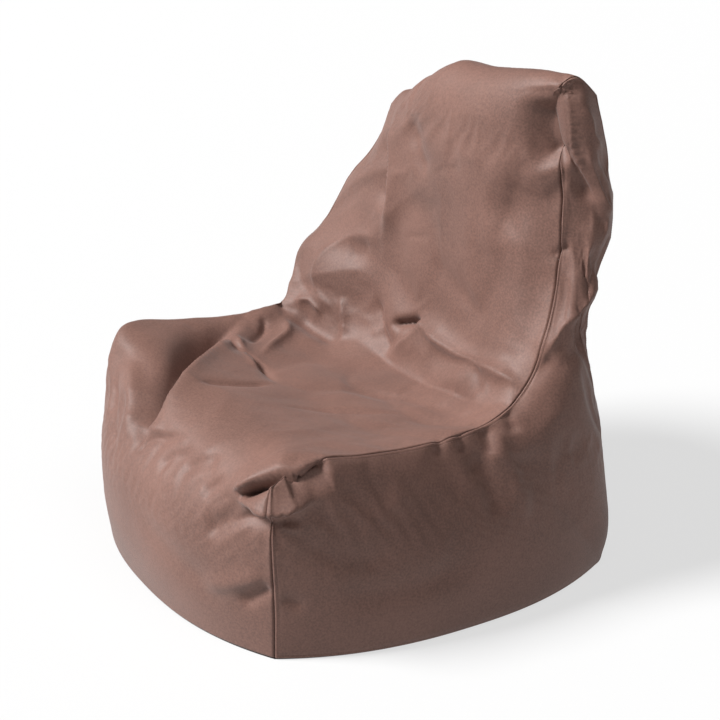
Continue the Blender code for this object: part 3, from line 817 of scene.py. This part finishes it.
def panel_surface(coarse, coarse_normals, surface, spacing):
    """A panel's vertices and normals, with the folds on it and with no seams yet."""
    rows = fine_places(coarse, spacing)
    columns = fine_places(np.swapaxes(coarse, 0, 1), spacing)
    grid = resample(coarse, rows, columns)
    normals = resample(coarse_normals, rows, columns)
    normals /= np.linalg.norm(normals, axis=2, keepdims=True)
    heights = fold_heights(surface, grid.reshape(-1, 3), normals.reshape(-1, 3))
    heights = (heights + crumple(grid.reshape(-1, 3))).reshape(grid.shape[:2])
    heights *= quiet_zone(grid)
    grid = grid + lean(surface, grid.reshape(-1, 3)).reshape(grid.shape)
    return grid, normals, heights


def grid_object(name, grid, outward, material, thickness, cloth_size=None):
    """A panel as a thin sheet, with its flat size as its Cloth coordinates in metres."""
    quads = quads_of(np.arange(grid[..., 0].size).reshape(grid.shape[:2]))
    flat = grid.reshape(-1, 3)
    corners = flat[quads]
    facing = np.cross(corners[:, 2] - corners[:, 0], corners[:, 3] - corners[:, 1])
    if (facing * outward.reshape(-1, 3)[quads[:, 0]]).sum() < 0:
        quads = quads[:, ::-1]
    data = mesh_from(name, flat, quads)
    if cloth_size is not None:
        layer = data.uv_layers.new(name="Cloth")
        layer.data.foreach_set("uv", cloth_size.reshape(-1, 2)[quads.ravel()].astype(np.float32).ravel())
    data.materials.append(material)
    data.shade_smooth()
    thing = bpy.data.objects.new(name, data)
    bpy.context.scene.collection.objects.link(thing)
    solid = thing.modifiers.new("Cloth thickness", "SOLIDIFY")
    solid.thickness = thickness
    solid.offset = -1
    return thing


def stitch_panel(name, grid, final, normals, thread):
    """The topstitch rows of a side panel, on all four edges, or of a rear panel, beside the zip."""
    line = STITCH_LINE
    parts = []
    if name.startswith("side"):
        body = slice(line, -line)
        parts = [(line, body), (-1 - line, body), (body, line), (body, -1 - line)]
    elif name.startswith("rear"):
        parts = [(zip_slot(grid[:, 0, 2]) > 0.9, line)]
    if parts:
        sew(name, [final[part] for part in parts], [normals[part] for part in parts], thread)


def build_panel(name, coarse, coarse_normals, surface, material, thread):
    grid, normals, heights = panel_surface(coarse, coarse_normals, surface, FINE)
    first, last, inner, outer = edge_distances(grid)
    cloth_size = np.stack([inner, first], axis=-1)
    felled = name.startswith("side") or name == "base_panel"
    slot = 0.0
    if name.startswith("rear"):
        slot = zip_slot(grid[..., 2])
        grid = open_slot(grid)
        heights += seam_heights(inner, False) * (1 - slot)
        heights -= slot * STITCH_DIP * np.exp(-(((inner - FELL_WIDTH) / 0.0014) ** 2))
        nearest = np.minimum.reduce([first, last, outer])
    else:
        nearest = np.minimum.reduce([first, last, inner, outer])
    heights += seam_heights(nearest, felled)
    final = grid + normals * heights[..., None]
    final[..., 2] = np.maximum(final[..., 2], FLOOR_GAP)
    thing = grid_object(name + "_cloth", final, normals, material, CLOTH_THICKNESS, cloth_size)
    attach(thing, "bag")
    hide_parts(name)
    stitch_panel(name, grid, final, normals, thread)


# ---------------------------------------------------------------- stitches and zip teeth
STITCH_PITCH = 0.0044
STITCH_LENGTH = 0.0030
THREAD = 0.00038
LOOK_AHEAD = 0.001
COIL_PITCH = 0.0016
COIL_BOTTOM = 0.0894
COIL_TOP = 0.5836
TOOTH_HALF_LENGTH = 0.0019
TOOTH_HALF_DEPTH = 0.0010
TOOTH_CENTRE_X = 0.0020
ZIP_FACE_Y = 0.4304


def even_points(line, spacing):
    """Points evenly spaced along a line, and the line's direction at each."""
    steps = np.linalg.norm(np.diff(line, axis=0), axis=1)
    length = np.concatenate([[0], np.cumsum(steps)])
    places = np.arange(spacing, length[-1] - spacing, spacing)
    points = np.array([np.interp(places, length, axis) for axis in line.T]).T
    ahead = np.array([np.interp(places + LOOK_AHEAD, length, axis) for axis in line.T]).T
    return points, ahead - points


def add_pod(mesh, centre, ahead, aside, up):
    """A short rounded pod, six-sided across, as a stitch or a zip tooth."""
    rings = []
    for place, share in ((-1.0, 0.35), (-0.7, 0.9), (0.7, 0.9), (1.0, 0.35)):
        ring = []
        for n in range(6):
            turn = math.tau * n / 6
            spot = centre + ahead * place + (aside * math.cos(turn) + up * math.sin(turn)) * share
            ring.append(mesh.verts.new(spot))
        rings.append(ring)
    for lower, upper in zip(rings, rings[1:]):
        for n in range(6):
            mesh.faces.new([lower[n], lower[n - 5], upper[n - 5], upper[n]])
    mesh.faces.new(rings[0][::-1])
    mesh.faces.new(rings[-1])


def finish_pods(name, mesh, material):
    bmesh.ops.recalc_face_normals(mesh, faces=mesh.faces)
    data = bpy.data.meshes.new(name)
    mesh.to_mesh(data)
    mesh.free()
    data.materials.append(material)
    data.shade_smooth()
    thing = bpy.data.objects.new(name, data)
    bpy.context.scene.collection.objects.link(thing)
    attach(thing, "bag")
    return thing


def sew(name, lines, normals, material):
    """Topstitching along lines of a panel's vertices: one pod for each stitch."""
    mesh = bmesh.new()
    for line, out in zip(lines, normals):
        for spot, direction in zip(*even_points(line, STITCH_PITCH)):
            along = direction / np.linalg.norm(direction)
            normal = out[np.argmin(np.linalg.norm(line - spot, axis=1))]
            aside = np.cross(normal, along)
            add_pod(
                mesh,
                Vector(spot + normal * 0.0001),
                Vector(along * STITCH_LENGTH / 2),
                Vector(aside * THREAD),
                Vector(normal * THREAD),
            )
    finish_pods(name + "_topstitch", mesh, material)


def build_coil(name, side, material):
    """One side of the zip as interlocking teeth."""
    mesh = bmesh.new()
    start = COIL_BOTTOM + (0.25 if side > 0 else 0.75) * COIL_PITCH
    for z in np.arange(start, COIL_TOP, COIL_PITCH):
        centre = Vector((side * TOOTH_CENTRE_X, ZIP_FACE_Y + 0.0003, z))
        across = Vector((side * TOOTH_HALF_LENGTH, 0, 0))
        up = Vector((0, 0, COIL_PITCH * 0.42))
        add_pod(mesh, centre, across, up, Vector((0, TOOTH_HALF_DEPTH, 0)))
    thing = finish_pods(name + "_teeth", mesh, material)
    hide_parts(name)


# ---------------------------------------------------------------- liner and fill
LINER_THICKNESS = 0.0006


def build_liner(name, grid, normals, pressed, material):
    """A liner panel, on the rounded inner shape."""
    rows = fine_places(grid, 2 * FINE)
    columns = fine_places(np.swapaxes(grid, 0, 1), 2 * FINE)
    depth = LINER_DEPTH + ZIP_POCKET * pocket(grid) + pressed
    sheet = resample(grid - normals * depth[..., None], rows, columns)
    outward = resample(normals, rows, columns)
    if name.startswith("rear"):
        sheet = open_slot(sheet)
    thing = grid_object("liner_" + name + "_cloth", sheet, outward, material, LINER_THICKNESS)
    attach(thing, "bag")
    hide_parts("liner_" + name)


def build_fill(points, normals, pressed, quads, material):
    depth = FILL_DEPTH + ZIP_POCKET * pocket(points) + pressed
    data = mesh_from("bead_fill_heap", points - normals * depth[:, None], quads)
    data.materials.append(material)
    data.shade_smooth()
    thing = bpy.data.objects.new("bead_fill_heap", data)
    bpy.context.scene.collection.objects.link(thing)
    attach(thing, "bag")
    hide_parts("bead_fill")


# ---------------------------------------------------------------- materials
def shader_material(name):
    made = bpy.data.materials.new(name)
    made.use_nodes = True
    nodes, links = made.node_tree.nodes, made.node_tree.links
    return made, nodes, links, nodes["Principled BSDF"]


def cover_cloth(name, colour, roughness):
    made, nodes, links, shader = shader_material(name)
    place = nodes.new("ShaderNodeTexCoord")
    shades = nodes.new("ShaderNodeTexNoise")
    shades.inputs["Scale"].default_value = 6
    shades.inputs["Detail"].default_value = 4
    links.new(place.outputs["Object"], shades.inputs["Vector"])
    grain = nodes.new("ShaderNodeTexNoise")
    grain.inputs["Scale"].default_value = 260
    grain.inputs["Detail"].default_value = 5
    links.new(place.outputs["Object"], grain.inputs["Vector"])
    ramp = nodes.new("ShaderNodeValToRGB")
    dark = [channel * 0.80 for channel in colour]
    light = [min(1, channel * 1.22) for channel in colour]
    ramp.color_ramp.elements[0].position = 0.38
    ramp.color_ramp.elements[0].color = (*dark, 1)
    ramp.color_ramp.elements[1].position = 0.62
    ramp.color_ramp.elements[1].color = (*light, 1)
    mixed = nodes.new("ShaderNodeMath")
    mixed.operation = "MULTIPLY_ADD"
    mixed.inputs[1].default_value = 0.60
    links.new(grain.outputs["Fac"], mixed.inputs[0])
    half = nodes.new("ShaderNodeMath")
    half.operation = "MULTIPLY"
    half.inputs[1].default_value = 0.40
    links.new(shades.outputs["Fac"], half.inputs[0])
    links.new(half.outputs[0], mixed.inputs[2])
    links.new(mixed.outputs[0], ramp.inputs["Fac"])
    links.new(ramp.outputs["Color"], shader.inputs["Base Color"])
    shader.inputs["Roughness"].default_value = roughness
    shader.inputs["Specular IOR Level"].default_value = 0.34
    shader.inputs["Sheen Weight"].default_value = 0.08
    shader.inputs["Sheen Roughness"].default_value = 0.5
    weave(nodes, links, shader, 0.0011, 0.00012)
    return made


def weave(nodes, links, shader, pitch, height):
    """Plain weave as a bump: warp and weft waves over the cloth's own flat coordinates."""
    flat = nodes.new("ShaderNodeUVMap")
    flat.uv_map = "Cloth"
    waves = []
    for direction in ("X", "Y"):
        wave = nodes.new("ShaderNodeTexWave")
        wave.bands_direction = direction
        wave.inputs["Scale"].default_value = 0.314 / pitch
        wave.inputs["Distortion"].default_value = 0.6
        wave.inputs["Detail Scale"].default_value = 2
        links.new(flat.outputs["UV"], wave.inputs["Vector"])
        waves.append(wave)
    both = nodes.new("ShaderNodeMath")
    both.operation = "MAXIMUM"
    links.new(waves[0].outputs["Fac"], both.inputs[0])
    links.new(waves[1].outputs["Fac"], both.inputs[1])
    bump = nodes.new("ShaderNodeBump")
    bump.inputs["Strength"].default_value = 0.5
    bump.inputs["Distance"].default_value = height
    links.new(both.outputs[0], bump.inputs["Height"])
    links.new(bump.outputs["Normal"], shader.inputs["Normal"])


def plain_stuff(name, colour, roughness, metallic=0.0, scale=400.0, depth=0.00015):
    """A moulded, cast or woven small part: a slightly mottled colour and a fine bump."""
    made, nodes, links, shader = shader_material(name)
    place = nodes.new("ShaderNodeTexCoord")
    noise = nodes.new("ShaderNodeTexNoise")
    noise.inputs["Scale"].default_value = scale
    noise.inputs["Detail"].default_value = 3
    links.new(place.outputs["Object"], noise.inputs["Vector"])
    ramp = nodes.new("ShaderNodeValToRGB")
    ramp.color_ramp.elements[0].position = 0.35
    ramp.color_ramp.elements[0].color = (*[channel * 0.85 for channel in colour], 1)
    ramp.color_ramp.elements[1].position = 0.65
    ramp.color_ramp.elements[1].color = (*[min(1, channel * 1.12) for channel in colour], 1)
    links.new(noise.outputs["Fac"], ramp.inputs["Fac"])
    links.new(ramp.outputs["Color"], shader.inputs["Base Color"])
    bump = nodes.new("ShaderNodeBump")
    bump.inputs["Strength"].default_value = 0.4
    bump.inputs["Distance"].default_value = depth
    links.new(noise.outputs["Fac"], bump.inputs["Height"])
    links.new(bump.outputs["Normal"], shader.inputs["Normal"])
    shader.inputs["Roughness"].default_value = roughness
    shader.inputs["Metallic"].default_value = metallic
    return made


# ---------------------------------------------------------------- camera, light and floor
def look_at(thing, target):
    thing.rotation_euler = (Vector(target) - thing.location).to_track_quat("-Z", "Y").to_euler()


def place_by_angles(thing, azimuth, elevation, distance, target):
    azimuth, elevation = math.radians(azimuth), math.radians(elevation)
    away = Vector(
        (
            math.sin(azimuth) * math.cos(elevation),
            -math.cos(azimuth) * math.cos(elevation),
            math.sin(elevation),
        )
    )
    thing.location = Vector(target) + away * distance
    look_at(thing, target)


def make_camera():
    camera = bpy.data.objects.new("camera", bpy.data.cameras.new("camera"))
    camera.data.lens = 93.3
    camera.data.sensor_width = 36
    bpy.context.scene.collection.objects.link(camera)
    place_by_angles(camera, 60, 23.2, 3.5, (0.041, -MIDDLE_Y, 0.377))
    bpy.context.scene.camera = camera


def soft_sun(name, azimuth, elevation, strength, angle):
    light = bpy.data.lights.new(name, "SUN")
    light.energy = strength
    light.angle = math.radians(angle)
    thing = bpy.data.objects.new(name, light)
    bpy.context.scene.collection.objects.link(thing)
    place_by_angles(thing, azimuth, elevation, 4, (0, 0, 0.4))


FLOOR_GREY = 0.17
FLOOR_GLOW = 0.64  # an evenly lit floor, so that the shadow on it stays faint


def make_studio():
    bpy.context.scene.view_settings.view_transform = "Standard"
    world = bpy.data.worlds.new("studio")
    world.use_nodes = True
    world.node_tree.nodes["Background"].inputs["Color"].default_value = (1.0, 0.99, 0.98, 1)
    world.node_tree.nodes["Background"].inputs["Strength"].default_value = 0.12
    bpy.context.scene.world = world
    soft_sun("key", -24, 45, 6.9, 20)
    soft_sun("top_fill", 100, 68, 0.8, 50)
    bpy.ops.mesh.primitive_plane_add(size=180, location=(0, 0, 0))
    floor = bpy.context.object
    floor.name = "floor"
    made, nodes, links, shader = shader_material("studio_floor")
    shader.inputs["Emission Color"].default_value = (1, 1, 1, 1)
    shader.inputs["Emission Strength"].default_value = FLOOR_GLOW
    shader.inputs["Base Color"].default_value = (FLOOR_GREY, FLOOR_GREY, FLOOR_GREY, 1)
    shader.inputs["Roughness"].default_value = 0.9
    floor.data.materials.append(made)


# ---------------------------------------------------------------- putting it together
COVER = (0.134, 0.067, 0.051)
BASE = (0.026, 0.019, 0.017)
THREAD_COLOUR = (0.200, 0.110, 0.088)
DRESS = {
    "zip_tape": lambda: plain_stuff("zip_tape_weave", (0.110, 0.062, 0.053), 0.85, scale=1500),
    "zip_coil": lambda: plain_stuff("zip_coil_nylon", (0.090, 0.052, 0.045), 0.40, scale=600),
    "zip_metal": lambda: plain_stuff("zip_cast_metal", (0.240, 0.225, 0.210), 0.35, metallic=1.0, scale=300),
    "liner_fabric": lambda: plain_stuff("liner_cloth", (0.720, 0.700, 0.660), 0.85, scale=1200),
    "bead_fill": lambda: plain_stuff("foam_beads", (0.900, 0.900, 0.890), 0.80, scale=260, depth=0.002),
}


def dress_cad_nodes(stuff):
    slots = {part["node"]: part["material_slot"] for part in frame["record"]["subparts"]}
    for node, thing in frame["nodes"].items():
        if slots[node] in stuff:
            for place in thing.material_slots:
                place.material = stuff[slots[node]]


def main():
    noise.seed_set(CRUMPLE_SEED)
    make_camera()
    make_studio()
    grids, count = closed_grid()
    points = fill_waist(gather(lattice(), grids, count))
    quads = closed_quads(grids, points)
    edges = edges_of(quads)
    points = round_corners(points, edges)
    points = slacken(points, quads)
    normals = point_normals(points, quads)
    surface = Surface(points, normals)
    cover = cover_cloth("coated_cloth", COVER, 0.57)
    base = cover_cloth("base_cloth", BASE, 0.70)
    thread = plain_stuff("sewing_thread", THREAD_COLOUR, 0.7, scale=2500)
    stuff = {name: make() for name, make in DRESS.items()}
    heights = fold_heights(surface, points, normals) * quiet_zone(points)
    inner, inner_normals, pressed = inner_shape(points, normals, edges, quads, heights)
    for name, grid in panel_numbers(grids).items():
        cloth = base if name == "base_panel" else cover
        build_panel(name, points[grid], normals[grid], surface, cloth, thread)
        build_liner(name, inner[grid], inner_normals[grid], pressed[grid], stuff["liner_fabric"])
    build_fill(inner, inner_normals, pressed, quads, stuff["bead_fill"])
    build_coil("zip_coil_left", 1, stuff["zip_coil"])
    build_coil("zip_coil_right", -1, stuff["zip_coil"])
    dress_cad_nodes(stuff)


main()
